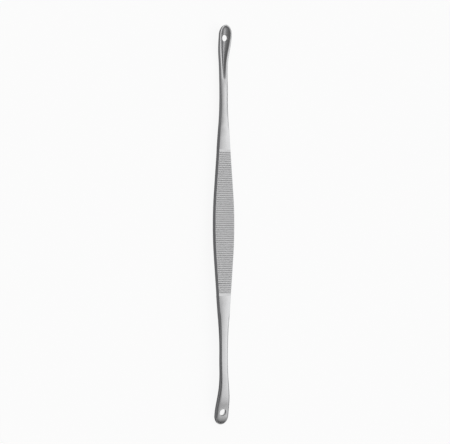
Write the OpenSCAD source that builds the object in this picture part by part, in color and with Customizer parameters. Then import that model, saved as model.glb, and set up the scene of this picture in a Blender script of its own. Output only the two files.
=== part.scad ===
// Double-ended comedone extractor, one piece of stainless steel.
// A flat serrated handle runs out through two slim necks into two spoons,
// a small one and a large one, each with an eye drilled through its floor.
// The spoons face opposite ways. X is the width, Y the length, Z is up.

/* [Overall] */
// Length from tip to tip
overall_length = 140; // [134:1:170]

/* [Handle] */
// Length of the lens-shaped handle, from neck to neck
handle_length = 92; // [84:1:98]
// Width across the middle of the handle
handle_width = 7.25; // [6:0.05:9]
// Thickness of the bar
handle_thickness = 2.4; // [2:0.1:3]
// Share of the edge that is crowned at the middle
crown_share = 0.25; // [0.1:0.05:0.4]
// Share of the edge that blends into the neck
blend_share = 0.36; // [0.1:0.02:0.4]

/* [Serrations] */
// Length of the serrated field
serration_length = 50; // [36:0.5:54]
// How far the field sits off the middle, towards the small spoon
serration_shift = 0.9; // [0:0.1:2]
// Distance from groove to groove
serration_pitch = 0.75; // [0.6:0.01:1.2]
// Depth of each groove
serration_depth = 0.16; // [0.1:0.02:0.3]
// Width of the flat land between two grooves
serration_land = 0.22; // [0.1:0.02:0.4]
// Plain margin of the serrated grip at each end
grip_margin = 1.1; // [0.9:0.1:2]
// Plain band between the serrations and the start of the neck
shoulder_band = 4; // [2.5:0.5:6]
// How far the polished bands stand proud of the grip
polish_step = 0.03; // [0.02:0.01:0.06]

/* [Necks] */
// Width of the neck on the side of the spoon's mouth
neck_width = 2.6; // [2:0.1:3.2]
// Thickness of the neck
neck_thickness = 1.7; // [1.4:0.1:2.2]
// Drop of the throat, where the neck swings down before the spoon
throat_drop = 0.35; // [0:0.05:0.8]

/* [Small spoon] */
// Width across the rim
small_width = 4.5; // [3.8:0.1:5.4]
// Length of the widening part, from the neck to the tip
small_length = 17; // [14:0.5:20]
// Length of the oval end
small_nose = 3.4; // [2.4:0.1:4.5]
// Lift of the tip above the throat
small_lift = 1.8; // [0.8:0.1:3]
// Depth of the spoon from the rim to its back
small_depth = 1.75; // [1.5:0.05:2.2]
// Depth of the bowl inside
small_bowl = 1.0; // [0.6:0.05:1.1]
// Diameter of the eye
small_eye = 2.3; // [1.4:0.1:2.5]
// Distance of the eye's centre from the tip
small_eye_inset = 4.5; // [4.2:0.1:6]

/* [Large spoon] */
// Width across the rim
large_width = 4.8; // [4.2:0.1:6]
// Length of the widening part, from the neck to the tip
large_length = 20; // [16:0.5:21]
// Length of the oval end
large_nose = 3.1; // [2.4:0.1:4.5]
// Lift of the tip above the throat
large_lift = 2.3; // [0.8:0.1:3.4]
// Depth of the spoon from the rim to its back
large_depth = 1.9; // [1.6:0.05:2.4]
// Depth of the bowl inside
large_bowl = 1.1; // [0.6:0.05:1.2]
// Diameter of the eye
large_eye = 2.5; // [1.6:0.1:2.8]
// Distance of the eye's centre from the tip
large_eye_inset = 4.6; // [4:0.1:6]

/* [Rims] */
// Width of the rim beside the bowl
rim_width = 0.36; // [0.25:0.01:0.5]
// Width of the rim at the tip
rim_at_tip = 0.5; // [0.3:0.05:0.8]
// Edge break on the outside of the rim
edge_break = 0.1; // [0.05:0.01:0.15]

/* [Hidden] */

half_length = overall_length / 2;
neck_start = handle_length / 2;
groove_count = floor(serration_length / serration_pitch);
field_half = groove_count * serration_pitch / 2;

// how far from the tip each part of a spoon begins
bowl_run = 19;          // the mouth's pointed end
lift_run = 14;          // the upward sweep
round_run = 10;         // from the shoulder until the back is fully rounded

// the root of each neck, which lies inside the grip and steps out at its end
root_run = 4;
root_inset = 0.15;
step_from = 0.7;
step_to = 0.2;

// the section's own shares, at the shoulder, the neck and the bowl
crest_shares = [0.8, 0.64, 0.5];
flank_shares = [0.2, 0.22, 0.42];
tip_depth_share = 0.25;
bowl_form = 1.6;        // 2 is a parabola, less is flatter towards the rim
bowl_growth = 0.6;      // how fast the bowl opens from its pointed end
mouth_point = 0.25;     // half width of the mouth where it ends in a point
blunt_end = 0.99;       // the skin stops just short of the ellipse's very tip

// how finely the skin is cut
outline_steps = 24;     // along half of the grip's outline
neck_sections = 10;     // from the shoulder to the mouth's pointed end
bowl_sections = 18;     // from there to the widest place
bowl_crowding = 1.2;    // closer together towards the pointed end
nose_turn = 7.5;        // degrees from section to section round the nose
tip_shares = [0.3, 0.6, 0.85, blunt_end];
corner_steps = 4;
bowl_steps = 6;
eye_sides = 64;
slope_step = 0.5;       // over which the bowl floor's slope is taken at the eye
drill_depths = 4;       // length of the eye's drill in depths of the spoon
break_limit = 0.33;     // most of the half width that an edge break may take

small_spoon = [small_width, small_length, small_nose, small_lift, small_depth,
               small_bowl, small_eye, small_eye_inset, serration_shift];
large_spoon = [large_width, large_length, large_nose, large_lift, large_depth,
               large_bowl, large_eye, large_eye_inset, -serration_shift];

function width_of(spoon) = spoon[0];
function run_of(spoon) = spoon[1];
function nose_of(spoon) = spoon[2];
function lift_of(spoon) = spoon[3];
function depth_of(spoon) = spoon[4];
function bowl_of(spoon) = spoon[5];
function eye_of(spoon) = spoon[6];
function eye_inset_of(spoon) = spoon[7];
function shift_of(spoon) = spoon[8];

function mix(from, to, t) = from + (to - from) * t;
function share(s, from, to) = min(1, max(0, (s - from) / (to - from)));

// A straight ramp from 0 to 1 whose two ends are rounded over the shares a and b
function ramp(t, a = 0.5, b = 0.5) =
    let (slope = 1 / (1 - a / 2 - b / 2))
    t <= 0 ? 0 :
    t < a ? slope * t * t / (2 * a) :
    t < 1 - b ? slope * (t - a / 2) :
    t < 1 ? 1 - slope * (1 - t) * (1 - t) / (2 * b) : 1;

// How far from the middle the serrations, the grip and the plain band end
// on the side of each spoon
function field_end(spoon) = field_half + shift_of(spoon);
function grip_end(spoon) = field_end(spoon) + grip_margin;
function shoulder(spoon) = field_end(spoon) + shoulder_band;

// A quarter of an ellipse, 1 at the middle and 0 at the end
function round_off(t) = sqrt(max(0, 1 - t * t));

// Half the width of the bar at the distance s from its middle
function bar_half(s) =
    mix(handle_width, neck_width, ramp(s / neck_start, crown_share, blend_share)) / 2;

// Where the spoon is widest
function widest_at(spoon) = half_length - nose_of(spoon);

// Half the width of the spoon's rim at s
function rim_half(spoon, s) =
    s > widest_at(spoon)
        ? width_of(spoon) / 2 * round_off((s - widest_at(spoon)) / nose_of(spoon))
        : bar_half(s) + (width_of(spoon) - neck_width) / 2
            * ramp(share(s, half_length - run_of(spoon), widest_at(spoon)));

// Height of the mouth side above the bar's middle plane
function face_height(spoon, s) =
    mix(handle_thickness, neck_thickness, ramp(share(s, shoulder(spoon), neck_start))) / 2
    - throat_drop * ramp(share(s, neck_start, half_length - lift_run))
    + lift_of(spoon) * ramp(share(s, half_length - lift_run, half_length));

// Depth of the section from the mouth side to the back
function section_depth(spoon, s) =
    let (eye_at = half_length - eye_inset_of(spoon),
         full = mix(mix(handle_thickness, neck_thickness, ramp(share(s, shoulder(spoon), neck_start))),
                    depth_of(spoon), ramp(share(s, neck_start, eye_at))))
    s < eye_at ? full
        : mix(tip_depth_share * full, full, round_off((s - eye_at) / eye_inset_of(spoon)));

// A share that goes from the shoulder's value to the neck's and the bowl's
function along(shares, spoon, s) =
    mix(mix(shares[0], shares[1], ramp(share(s, shoulder(spoon), neck_start))), shares[2],
        ramp(share(s, neck_start, widest_at(spoon))));

// How full the bowl is at s, from 0 at the mouth's ends to 1 at its widest
function fullness(spoon, s) =
    let (from = half_length - bowl_run, widest = widest_at(spoon))
    s < widest ? pow(share(s, from, widest), bowl_growth)
               : round_off(min(1, (s - widest) / (nose_of(spoon) - rim_at_tip)));

// Half the width of the bowl's mouth at s
function mouth_half(spoon, s) =
    mix(min(mouth_point, rim_half(spoon, s) / 2), rim_half(spoon, min(s, widest_at(spoon)))
        - rim_width, fullness(spoon, s));

// How far the skin lies outside the bar's own size: inside it at the root
function proud(spoon, s) =
    mix(-root_inset, polish_step,
        share(s, grip_end(spoon) - step_from, grip_end(spoon) - step_to));

// One cross-section: from the back's crest up the flank, over the rim and down
// into the bowl, then the same mirrored
function section(spoon, s) =
    let (stands = proud(spoon, s),
         half = rim_half(spoon, s) + stands,
         face = face_height(spoon, s) + stands,
         depth = section_depth(spoon, s) + 2 * stands,
         back = face - depth,
         crest = half * along(crest_shares, spoon, s),
         flank = depth * along(flank_shares, spoon, s),
         roundness = ramp(share(s, shoulder(spoon), shoulder(spoon) + round_run)),
         break = min(edge_break, break_limit * half),
         mouth = mouth_half(spoon, s),
         bowl = bowl_of(spoon) * fullness(spoon, s),
         side = concat(
             [for (i = [0 : corner_steps])
                 let (a = 90 * i / corner_steps,
                      arc = [mix(crest, half, sin(a)), back + flank * (1 - cos(a))],
                      square = [mix(crest, half, min(1, 2 * i / corner_steps)),
                                back + flank * max(0, 2 * i / corner_steps - 1)])
                 mix(square, arc, roundness)],
             [[half, face - break], [half - break * roundness, face]],
             [for (i = [0 : bowl_steps - 1])
                 let (u = 1 - i / bowl_steps)
                 [mouth * u, face - bowl * (1 - pow(u, bowl_form))]]))
    concat([for (p = side) [p[0], s, p[1]]],
           [[0, s, face - bowl]],
           [for (i = [len(side) - 1 : -1 : 0]) [-side[i][0], s, side[i][1]]]);

// The places along the spoon that get a section, closer together where it curves more
function stations(spoon) =
    let (mouth_at = half_length - bowl_run,
         widest = widest_at(spoon),
         inner = nose_of(spoon) - rim_at_tip)
    concat([for (back = [root_run, step_from, step_to]) grip_end(spoon) - back],
           [for (i = [0 : neck_sections - 1])
               mix(shoulder(spoon), mouth_at, i / neck_sections)],
           [for (i = [0 : bowl_sections - 1])
               mix(mouth_at, widest, pow(i / bowl_sections, bowl_crowding))],
           [for (a = [0 : nose_turn : 90]) widest + inner * sin(a)],
           [for (t = tip_shares) widest + inner + rim_at_tip * t]);

// The mean of the points of a closed outline
function centre_of(ring) = [for (i = [0 : len(ring) - 1]) 1] * ring / len(ring);

// A closed skin over a list of sections, with a fan of triangles over each end
module skin(sections) {
    around = len(sections[0]);
    last = len(sections) - 1;
    rings = (last + 1) * around;
    polyhedron(
        points = concat([for (ring = sections) each ring],
                        [for (ring = [sections[0], sections[last]]) centre_of(ring)]),
        faces = [for (i = [0 : around - 1])
            let (j = (i + 1) % around)
            each concat(
                [[rings, j, i]],
                [for (k = [0 : last - 1])
                    each [[k * around + i, k * around + j, (k + 1) * around + i],
                          [k * around + j, (k + 1) * around + j, (k + 1) * around + i]]],
                [[rings + 1, last * around + i, last * around + j]])],
        convexity = 6);
}

// Neck and spoon, mouth upwards, with the eye drilled square to the bowl's floor
module spoon_end(spoon) {
    eye_at = half_length - eye_inset_of(spoon);
    rise = face_height(spoon, eye_at + slope_step) - face_height(spoon, eye_at - slope_step);
    difference() {
        skin([for (s = stations(spoon)) section(spoon, s)]);
        translate([0, eye_at, face_height(spoon, eye_at) - depth_of(spoon) / 2])
            rotate([atan(rise / (2 * slope_step)), 0, 0])
                cylinder(h = drill_depths * depth_of(spoon), d = eye_of(spoon),
                         center = true, $fn = eye_sides);
    }
}

// The grip's outline seen from above
module grip_outline() {
    from = -grip_end(large_spoon);
    to = grip_end(small_spoon);
    steps = 2 * outline_steps;
    edge = [for (i = [0 : steps]) let (s = mix(from, to, i / steps)) [bar_half(abs(s)), s]];
    polygon(concat(edge, [for (i = [len(edge) - 1 : -1 : 0]) [-edge[i][0], edge[i][1]]]));
}

// The grip's outline seen from the side, with a row of V grooves on both faces
module grip_profile() {
    top = handle_thickness / 2;
    opening = (serration_pitch - serration_land) / 2;
    face = concat(
        [[-grip_end(large_spoon), top]],
        [for (i = [0 : groove_count - 1])
            let (y = (i + 0.5) * serration_pitch - field_end(large_spoon))
            each [[y - opening, top], [y, top - serration_depth], [y + opening, top]]],
        [[grip_end(small_spoon), top]]);
    polygon(concat(face, [for (i = [len(face) - 1 : -1 : 0]) [face[i][0], -face[i][1]]]));
}

module grip() {
    intersection() {
        linear_extrude(height = 2 * handle_thickness, center = true) grip_outline();
        rotate([90, 0, 90])
            linear_extrude(height = 2 * handle_width, center = true) grip_profile();
    }
}

// Height of the lowest point over s when the small spoon faces up
function underside(s) =
    face_height(small_spoon, s) - section_depth(small_spoon, s) - polish_step;
tip_level = -face_height(large_spoon, half_length) - polish_step;
// The instrument rests on the large spoon's tip and on the other neck's back
rest_angle = atan(min([for (s = stations(small_spoon)) (underside(s) - tip_level)
                                                       / (s + half_length)]));

module extractor() {
    color("silver")
        translate([0, 0, -half_length * sin(rest_angle) - tip_level * cos(rest_angle)])
            rotate([-rest_angle, 0, 0])
                union() {
                    grip();
                    spoon_end(small_spoon);
                    rotate([180, 0, 0]) spoon_end(large_spoon);
                }
}

extractor();
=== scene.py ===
import math
import bpy
from mathutils import Matrix, Vector
from mathutils.bvhtree import BVHTree


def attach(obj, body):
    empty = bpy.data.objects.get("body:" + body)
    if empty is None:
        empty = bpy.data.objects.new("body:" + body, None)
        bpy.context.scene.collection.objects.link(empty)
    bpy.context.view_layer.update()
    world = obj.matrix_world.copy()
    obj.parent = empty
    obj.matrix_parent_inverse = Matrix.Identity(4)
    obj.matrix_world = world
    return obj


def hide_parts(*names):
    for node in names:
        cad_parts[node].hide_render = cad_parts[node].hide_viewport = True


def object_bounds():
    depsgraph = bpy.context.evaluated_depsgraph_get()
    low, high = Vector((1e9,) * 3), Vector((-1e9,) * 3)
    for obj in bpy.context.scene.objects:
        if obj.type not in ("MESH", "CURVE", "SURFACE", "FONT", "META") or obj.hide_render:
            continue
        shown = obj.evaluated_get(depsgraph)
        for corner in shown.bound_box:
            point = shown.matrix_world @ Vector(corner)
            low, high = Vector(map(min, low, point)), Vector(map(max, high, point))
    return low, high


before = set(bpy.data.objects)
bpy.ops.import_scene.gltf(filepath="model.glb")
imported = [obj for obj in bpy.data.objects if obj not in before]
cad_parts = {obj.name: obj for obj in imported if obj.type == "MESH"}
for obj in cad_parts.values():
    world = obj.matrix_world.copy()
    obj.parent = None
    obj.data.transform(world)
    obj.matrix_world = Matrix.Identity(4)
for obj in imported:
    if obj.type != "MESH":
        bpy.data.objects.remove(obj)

low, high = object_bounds()


def deselectAll():
    if bpy.context.object and bpy.context.object.mode != "OBJECT":
        bpy.ops.object.mode_set(mode="OBJECT")
    bpy.ops.object.select_all(action="DESELECT")


def pick(obj):
    deselectAll()
    obj.select_set(True)
    bpy.context.view_layer.objects.active = obj


def ramp(value, start, full):
    # 0 up to the start, 1 from full on and even in between
    return min(1.0, max(0.0, (value - start) / (full - start)))


# The instrument is a clean copy of the ground bar, with its doubles merged and its soft faces smoothed.
# Its flank attribute tells the faces that look sideways, which the polishing wheel doesn't reach, so they
# are rougher, and which also get painted shade in their colour; its bowl attribute tells the insides of the
# two spoons, which are rougher too and get painted shade as well.
instrument = {
    "merge": 0.000002,       # points closer than this become one
    "softAngle": 55.0,       # edges flatter than this many degrees are shaded smooth
    "crispAngle": 28.0,      # and on the grip, where the serrations stay crisp, flatter than this
    "gripReach": 0.0325,     # the grip goes this far from the middle
    "fieldMiddle": 0.0009,   # the middle of the serrated field
    "eyes": (0.0655847, -0.0655122),         # where the two eyes are along the bar
    "eyeReach": 0.0015,      # the edges this near to an eye stay crisp too
    "neckEase": 0.0002,      # how much further the necks' long edges are eased on the mouth's side
    "neckFade": (0.029, 0.038, 0.042, 0.048),    # it begins, is full, is full until, and ends here
    "cornerFaces": (0.5, 0.87),              # sideways share of the normal on an eased edge
    "wideFace": 0.9,         # upright share of the normal on a wide face
    "crownFrom": 0.0247,     # this far from the field's middle the wide faces look crowned
    "crown": 0.22,           # this much at their edges
    "crownHalf": 0.0013,     # and in full this far from the bar's middle line
    "roundFade": (0.033, 0.045),             # the soft shading takes over from here to here
    "flankFrom": 0.35,       # sideways share of the normal where a flank begins
    "flankFull": 0.85,       # and where it is one altogether
    "bowlFrom": 0.05,        # the bowls lie further from the middle than this
    "lift": 0.00005,         # how far off the surface the feelers start
    "feeler": 0.006,         # a spot with walls this near on both sides is inside a bowl
}


# marks the faces that look sideways, which the steel makes rougher and darkens with painted shade
def markFlanks(mesh):
    marks = mesh.attributes.new("flank", "FLOAT", "CORNER")
    for corner, normal in enumerate(mesh.corner_normals):
        share = ramp(abs(normal.vector.x), instrument["flankFrom"], instrument["flankFull"])
        marks.data[corner].value = share * share * (3 - 2 * share)    # eased at both ends


# marks the insides of the bowls, which the steel makes rougher and darkens with painted shade
def markBowls(mesh):
    # 1 inside the two bowls, where a feeler to the left and one to the right both meet a wall
    marks = mesh.attributes.new("bowl", "FLOAT", "CORNER")
    solid = BVHTree.FromPolygons([point.co for point in mesh.vertices],
                                 [list(face.vertices) for face in mesh.polygons])
    sideways = (Vector((1, 0, 0)), Vector((-1, 0, 0)))
    for face in mesh.polygons:
        for corner in face.loop_indices:
            spot = mesh.vertices[mesh.loops[corner].vertex_index].co + face.normal * instrument["lift"]
            if abs(spot.y) < instrument["bowlFrom"]:
                continue
            walls = [solid.ray_cast(spot, way, instrument["feeler"])[0] for way in sideways]
            marks.data[corner].value = 0.0 if None in walls else 1.0


def easeNecks(mesh):
    # the strip along each long edge of a neck gets wider: its inner line goes in, its outer line down
    start, full, still, end = instrument["neckFade"]
    least, most = instrument["cornerFaces"]
    inward, downward, around = {}, {}, {}
    for face in mesh.polygons:
        for point in face.vertices:
            around.setdefault(point, []).append(face.normal)
    for point, normals in around.items():
        mouth = 1 if mesh.vertices[point].co.y > 0 else -1    # the small spoon opens up, the large one down
        strips = [normal for normal in normals if least < abs(normal.x) < most and mouth * normal.z > least]
        if not strips:
            continue
        if any(abs(normal.z) > most and abs(normal.x) < least for normal in normals):
            inward[point] = -1 if strips[0].x > 0 else 1
        elif any(abs(normal.x) > most for normal in normals):
            downward[point] = -1 if strips[0].z > 0 else 1
    for vertex in mesh.vertices:
        reach = abs(vertex.co.y)
        ease = instrument["neckEase"] * min(ramp(reach, start, full), ramp(reach, end, still))
        vertex.co.x += inward.get(vertex.index, 0) * ease
        vertex.co.z += downward.get(vertex.index, 0) * ease
    print("necks eased at", len(inward) + len(downward), "points")


def roundFaces(mesh, soft):
    # the serrated field keeps its level shading; beyond it the wide faces look crowned, as a wheel leaves
    # them, and further out the soft shading takes over
    middle = instrument["fieldMiddle"]
    mixed = [normal.vector.copy() for normal in mesh.corner_normals]
    for face in mesh.polygons:
        nearest = min(abs(mesh.vertices[point].co.y - middle) for point in face.vertices)
        crowned = abs(face.normal.z) > instrument["wideFace"] and nearest > instrument["crownFrom"]
        for corner in face.loop_indices:
            point = mesh.vertices[mesh.loops[corner].vertex_index].co
            if crowned:
                side = min(1.0, max(-1.0, point.x / instrument["crownHalf"]))
                mixed[corner].x += side * instrument["crown"]
            share = ramp(abs(point.y), *instrument["roundFade"])
            mixed[corner] = mixed[corner].normalized().lerp(soft[corner], share).normalized()
    mesh.normals_split_custom_set(mixed)


def selectEdges(piece, wanted):
    # leaves the piece in edit mode with the edges selected that the test wants
    pick(piece)
    bpy.ops.object.mode_set(mode="EDIT")
    bpy.ops.mesh.select_mode(type="EDGE")
    bpy.ops.mesh.select_all(action="DESELECT")
    bpy.ops.object.mode_set(mode="OBJECT")
    mesh = piece.data
    faces = {}
    for face in mesh.polygons:
        for key in face.edge_keys:
            faces.setdefault(key, []).append(face.normal)
    for edge in mesh.edges:
        sides = faces.get(edge.key, [])
        ends = [mesh.vertices[index].co for index in edge.vertices]
        if len(sides) == 2 and wanted(ends, sides):
            edge.select = True
    bpy.ops.object.mode_set(mode="EDIT")


def isCrisp(ends, sides):
    if sides[0].dot(sides[1]) > math.cos(math.radians(instrument["crispAngle"])):
        return False
    onGrip = max(abs(end.y) for end in ends) < instrument["gripReach"]
    atEye = any(math.hypot(end.x, end.y - eye) < instrument["eyeReach"]
                for eye in instrument["eyes"] for end in ends)
    return onGrip or atEye


def makeInstrument():
    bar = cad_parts["extractor"]
    piece = bpy.data.objects.new("satinExtractor", bar.data.copy())
    bpy.context.scene.collection.objects.link(piece)
    pick(piece)
    bpy.ops.object.mode_set(mode="EDIT")
    bpy.ops.mesh.select_all(action="SELECT")
    bpy.ops.mesh.remove_doubles(threshold=instrument["merge"])
    bpy.ops.mesh.normals_make_consistent(inside=False)
    bpy.ops.object.mode_set(mode="OBJECT")
    easeNecks(piece.data)
    bpy.ops.object.shade_smooth_by_angle(angle=math.radians(instrument["softAngle"]))
    selectEdges(piece, isCrisp)
    bpy.ops.mesh.mark_sharp()
    bpy.ops.object.mode_set(mode="OBJECT")
    soft = [normal.vector.copy() for normal in piece.data.corner_normals]
    level = piece.modifiers.new("level", "WEIGHTED_NORMAL")
    level.keep_sharp = True
    bpy.ops.object.modifier_apply(modifier="level")
    roundFaces(piece.data, soft)
    markFlanks(piece.data)
    markBowls(piece.data)
    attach(piece, "root")
    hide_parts("extractor")
    print("instrument:", len(piece.data.vertices), "points,", len(piece.data.polygons), "faces")
    return piece


# Satin stainless steel: brushed along the bar, duller on the flanks and in the serrations, with painted
# shade in the colour of the flanks and of the bowls.
satin = {
    "base": (0.53, 0.53, 0.535, 1.0),
    "handled": (0.47, 0.47, 0.475, 1.0),     # broad patches that have been handled
    "flank": (0.22, 0.22, 0.225, 1.0),       # painted shade: the faces that look sideways are darker
    "field": (0.6, 0.6, 0.605, 1.0),         # the serrations stay duller
    "bowl": (0.36, 0.36, 0.365, 1.0),        # painted shade: the insides of the bowls are darker
    "grazing": (0.2, 0.2, 0.205, 1.0),       # how the brushing darkens what is seen edge on
    "smooth": 0.22,          # roughness where the brushing is finest
    "rough": 0.34,           # and where it is coarsest
    "flankRough": 0.42,
    "fieldRough": 0.56,
    "bowlRough": 0.42,
    "grainAcross": 5200.0,   # grain lines to the metre, across the bar
    "grainAlong": 130.0,     # and along it
    "grainDetail": 3.0,
    "grainSpread": (0.3, 0.7),               # the noise that is finest and the noise that is coarsest
    "grainHeight": 0.000004,
    "grainStrength": 0.5,
    "patches": 60.0,         # patches to the metre
    "patchDetail": 4.0,
    "patchSpread": (0.35, 0.65),
    "fieldHalf": 0.0248,     # the serrated field goes this far from its middle
    "fieldFade": 0.0003,
}


def compute(tree, operation, first, second=None):
    # the second value is a number, another node's output or nothing
    made = tree.nodes.new("ShaderNodeMath")
    made.operation = operation
    tree.links.new(first, made.inputs[0])
    if isinstance(second, float):
        made.inputs[1].default_value = second
    elif second is not None:
        tree.links.new(second, made.inputs[1])
    return made.outputs["Value"]


def remap(tree, value, spread, result, easing="LINEAR"):
    made = tree.nodes.new("ShaderNodeMapRange")
    made.interpolation_type = easing
    made.inputs["From Min"].default_value = spread[0]
    made.inputs["From Max"].default_value = spread[1]
    made.inputs["To Min"].default_value = result[0]
    made.inputs["To Max"].default_value = result[1]
    tree.links.new(value, made.inputs["Value"])
    return made.outputs["Result"]


def blendValue(tree, share, first, second):
    # the second value, a number, takes over from the first as the share goes to 1
    made = tree.nodes.new("ShaderNodeMix")
    made.inputs["B"].default_value = second
    tree.links.new(share, made.inputs["Factor"])
    tree.links.new(first, made.inputs["A"])
    return made.outputs["Result"]


def blendColour(tree, share, first, second):
    made = tree.nodes.new("ShaderNodeMix")
    made.data_type = "RGBA"
    if isinstance(first, tuple):
        made.inputs["A"].default_value = first
    else:
        tree.links.new(first, made.inputs["A"])
    made.inputs["B"].default_value = second
    tree.links.new(share, made.inputs["Factor"])
    return made.outputs["Result"]


def makeSatinSteel():
    mat = bpy.data.materials.new("satinSteel")
    mat.use_nodes = True
    tree = mat.node_tree
    nodes, links = tree.nodes, tree.links
    shader = nodes["Principled BSDF"]
    shader.inputs["Metallic"].default_value = 1.0
    shader.inputs["Specular Tint"].default_value = satin["grazing"]

    coords = nodes.new("ShaderNodeTexCoord")
    stretch = nodes.new("ShaderNodeMapping")
    across = satin["grainAcross"]
    stretch.inputs["Scale"].default_value = (across, satin["grainAlong"], across)
    links.new(coords.outputs["Object"], stretch.inputs["Vector"])
    grain = nodes.new("ShaderNodeTexNoise")
    grain.inputs["Scale"].default_value = 1.0
    grain.inputs["Detail"].default_value = satin["grainDetail"]
    links.new(stretch.outputs["Vector"], grain.inputs["Vector"])

    patches = nodes.new("ShaderNodeTexNoise")
    patches.inputs["Scale"].default_value = satin["patches"]
    patches.inputs["Detail"].default_value = satin["patchDetail"]
    links.new(coords.outputs["Object"], patches.inputs["Vector"])

    flank = nodes.new("ShaderNodeAttribute")
    flank.attribute_name = "flank"
    bowl = nodes.new("ShaderNodeAttribute")
    bowl.attribute_name = "bowl"

    place = nodes.new("ShaderNodeSeparateXYZ")
    links.new(coords.outputs["Object"], place.inputs["Vector"])
    along = compute(tree, "SUBTRACT", place.outputs["Y"], instrument["fieldMiddle"])
    away = compute(tree, "ABSOLUTE", along)
    edge = satin["fieldHalf"]
    field = remap(tree, away, (edge, edge + satin["fieldFade"]), (1.0, 0.0))

    brushed = remap(tree, grain.outputs["Fac"], satin["grainSpread"], (satin["smooth"], satin["rough"]))
    brushed = blendValue(tree, field, brushed, satin["fieldRough"])
    brushed = blendValue(tree, flank.outputs["Fac"], brushed, satin["flankRough"])
    brushed = blendValue(tree, bowl.outputs["Fac"], brushed, satin["bowlRough"])
    links.new(brushed, shader.inputs["Roughness"])

    worn = remap(tree, patches.outputs["Fac"], satin["patchSpread"], (0.0, 1.0))
    tone = blendColour(tree, worn, satin["base"], satin["handled"])
    tone = blendColour(tree, field, tone, satin["field"])
    # painted shade: the faces that look sideways are darkened
    tone = blendColour(tree, flank.outputs["Fac"], tone, satin["flank"])
    # painted shade: the insides of the bowls are darkened
    tone = blendColour(tree, bowl.outputs["Fac"], tone, satin["bowl"])
    links.new(tone, shader.inputs["Base Color"])

    bump = nodes.new("ShaderNodeBump")
    bump.inputs["Strength"].default_value = satin["grainStrength"]
    bump.inputs["Distance"].default_value = satin["grainHeight"]
    links.new(grain.outputs["Fac"], bump.inputs["Height"])
    links.new(bump.outputs["Normal"], shader.inputs["Normal"])
    print("steel made")
    return mat


# The picture: the camera leans left of straight down, which shows the bar's left side face.
view = {
    "lean": 25.0,
    "turn": 0.28,            # the bar stands this many degrees off plumb in the picture
    "lens": 85.0,
    "sensor": 36.0,
    "width": 450,            # the photograph's frame in pixels
    "height": 444,
    "topTip": 24.7,          # rows where the two tips lie
    "bottomTip": 424.4,
    "middleRow": 225.2,      # where the middle of the bar's box lies
    "middleColumn": 223.6,
}


def makeCamera():
    data = bpy.data.cameras.new("camera")
    data.lens = view["lens"]
    data.sensor_width = view["sensor"]
    camera = bpy.data.objects.new("camera", data)
    bpy.context.scene.collection.objects.link(camera)
    pixel = (high.y - low.y) / (view["bottomTip"] - view["topTip"])
    distance = pixel * view["width"] * view["lens"] / view["sensor"]
    lean = math.radians(view["lean"])
    turn = math.radians(view["turn"])
    across = Vector((math.cos(lean), 0, math.sin(lean)))
    along = Vector((0, 1, 0))
    back = Vector((-math.sin(lean), 0, math.cos(lean)))
    right = across * math.cos(turn) + along * math.sin(turn)
    up = along * math.cos(turn) - across * math.sin(turn)
    asideBy = (view["width"] / 2 - view["middleColumn"]) * pixel
    raisedBy = (view["middleRow"] - view["height"] / 2) * pixel
    target = (low + high) / 2 + right * asideBy + up * raisedBy
    camera.location = target + back * distance
    camera.rotation_mode = "QUATERNION"
    camera.rotation_quaternion = Matrix((right, up, back)).transposed().to_quaternion()
    bpy.context.scene.camera = camera
    print("camera", round(distance, 3), "m away")


# A white table in a white room that is dim on the left, with a soft glow above and to the right.
studio = {
    "floor": (1.0, 1.0, 1.0, 1.0),
    "floorRough": 0.9,
    "floorSize": 24.0,
    "clean": 0.88,           # share of the table that stays white under the shadow
    "room": 0.65,            # a level of 1 looks white
    "spots": [
        {"toward": (0.75, 0.0, 0.66), "edge": 0.5, "core": 0.97, "level": 1.32},     # overhead
        {"toward": (0.72, 0.0, 0.69), "edge": 0.93, "core": 0.995, "level": 1.6},    # its core
        {"toward": (0.3, 0.9, 0.35), "edge": 0.5, "core": 0.9, "level": 1.0},        # the far end
        {"toward": (0.2, -1.0, -0.05), "edge": 0.55, "core": 0.83, "level": 0.12},   # the near end
        {"toward": (1.0, 0.0, 0.1), "edge": 0.9, "core": 0.98, "level": 0.3},        # low on the right
        {"toward": (-0.95, 0.0, 0.3), "edge": 0.45, "core": 0.85, "level": 0.2},     # the dim side
    ],
}


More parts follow.
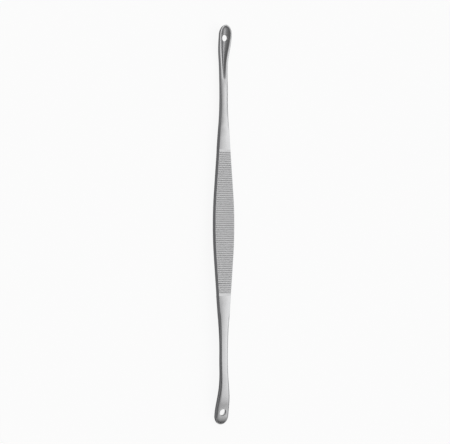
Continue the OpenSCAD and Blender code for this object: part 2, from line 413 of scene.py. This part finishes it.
def makeFloor():
    bpy.ops.mesh.primitive_plane_add(size=studio["floorSize"], location=(0, 0, low.z))
    floor = bpy.context.object
    floor.name = "table"
    mat = bpy.data.materials.new("whiteTable")
    mat.use_nodes = True
    tree = mat.node_tree
    paint = tree.nodes["Principled BSDF"]
    paint.inputs["Base Color"].default_value = studio["floor"]
    paint.inputs["Roughness"].default_value = studio["floorRough"]
    paint.inputs["Specular IOR Level"].default_value = 0.0

    rays = tree.nodes.new("ShaderNodeLightPath").outputs
    seen = compute(tree, "MAXIMUM", rays["Is Camera Ray"], rays["Is Glossy Ray"])
    seen = compute(tree, "MAXIMUM", seen, rays["Is Transmission Ray"])
    share = compute(tree, "MULTIPLY", seen, studio["clean"])
    white = tree.nodes.new("ShaderNodeEmission")
    both = tree.nodes.new("ShaderNodeMixShader")
    tree.links.new(share, both.inputs["Fac"])
    tree.links.new(paint.outputs["BSDF"], both.inputs[1])
    tree.links.new(white.outputs["Emission"], both.inputs[2])
    tree.links.new(both.outputs["Shader"], tree.nodes["Material Output"].inputs["Surface"])
    floor.data.materials.append(mat)
    print("table laid")


def blendToward(tree, spot, level):
    # the room's level changes to the spot's own level towards one direction
    coords = tree.nodes.new("ShaderNodeTexCoord")
    facing = tree.nodes.new("ShaderNodeVectorMath")
    facing.operation = "DOT_PRODUCT"
    facing.inputs[1].default_value = Vector(spot["toward"]).normalized()
    tree.links.new(coords.outputs["Generated"], facing.inputs[0])
    fade = remap(tree, facing.outputs["Value"], (spot["edge"], spot["core"]), (0.0, 1.0), "SMOOTHSTEP")
    return blendValue(tree, fade, level, spot["level"])


def makeRoom():
    world = bpy.data.worlds.new("room")
    world.use_nodes = True
    tree = world.node_tree
    plain = tree.nodes.new("ShaderNodeValue")
    plain.outputs["Value"].default_value = studio["room"]
    level = plain.outputs["Value"]
    for spot in studio["spots"]:
        level = blendToward(tree, spot, level)
    background = tree.nodes["Background"]
    background.inputs["Color"].default_value = (1, 1, 1, 1)
    tree.links.new(level, background.inputs["Strength"])
    bpy.context.scene.world = world
    print("studio lit")


bpy.context.scene.view_settings.view_transform = "Standard"
piece = makeInstrument()
piece.data.materials.clear()
piece.data.materials.append(makeSatinSteel())
makeCamera()
makeFloor()
makeRoom()
